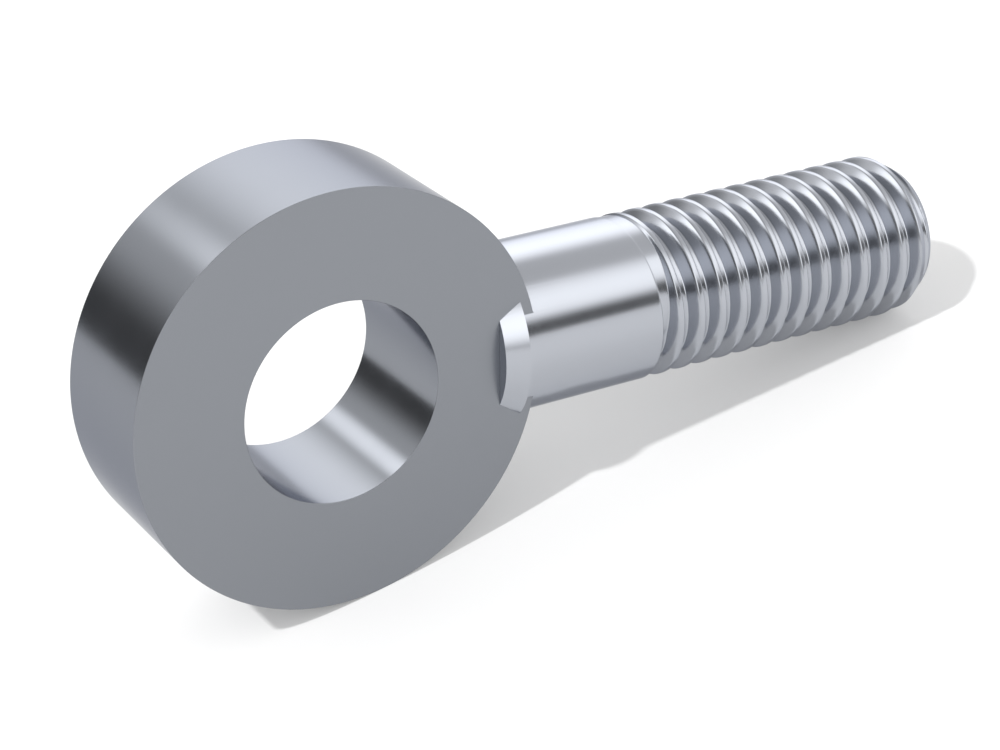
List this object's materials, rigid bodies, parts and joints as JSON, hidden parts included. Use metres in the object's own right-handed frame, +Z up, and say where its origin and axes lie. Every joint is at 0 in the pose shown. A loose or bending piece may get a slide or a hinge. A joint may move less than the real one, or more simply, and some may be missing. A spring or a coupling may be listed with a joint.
{
  "type": "swing eye bolt",
  "caption": "Swing eye bolt in one piece: round flat-sided eye with a plain cross bore, tapered collar, plain shank and a coarse right-hand thread.",
  "frame": {"origin": "middle of the eye's bore", "axes": "+Y along the bore, +X along the bolt towards its thread, +Z up; the shank itself dips 11 degrees below +X, as the bolt rests on its eye and its thread"},
  "size_m": [0.0537, 0.011, 0.025],
  "materials": {
    "bright_steel": "smooth bright zinc plate"
  },
  "bodies": {
    "root": {"eye_bolt": "bright_steel"}
  },
  "joints": []
}
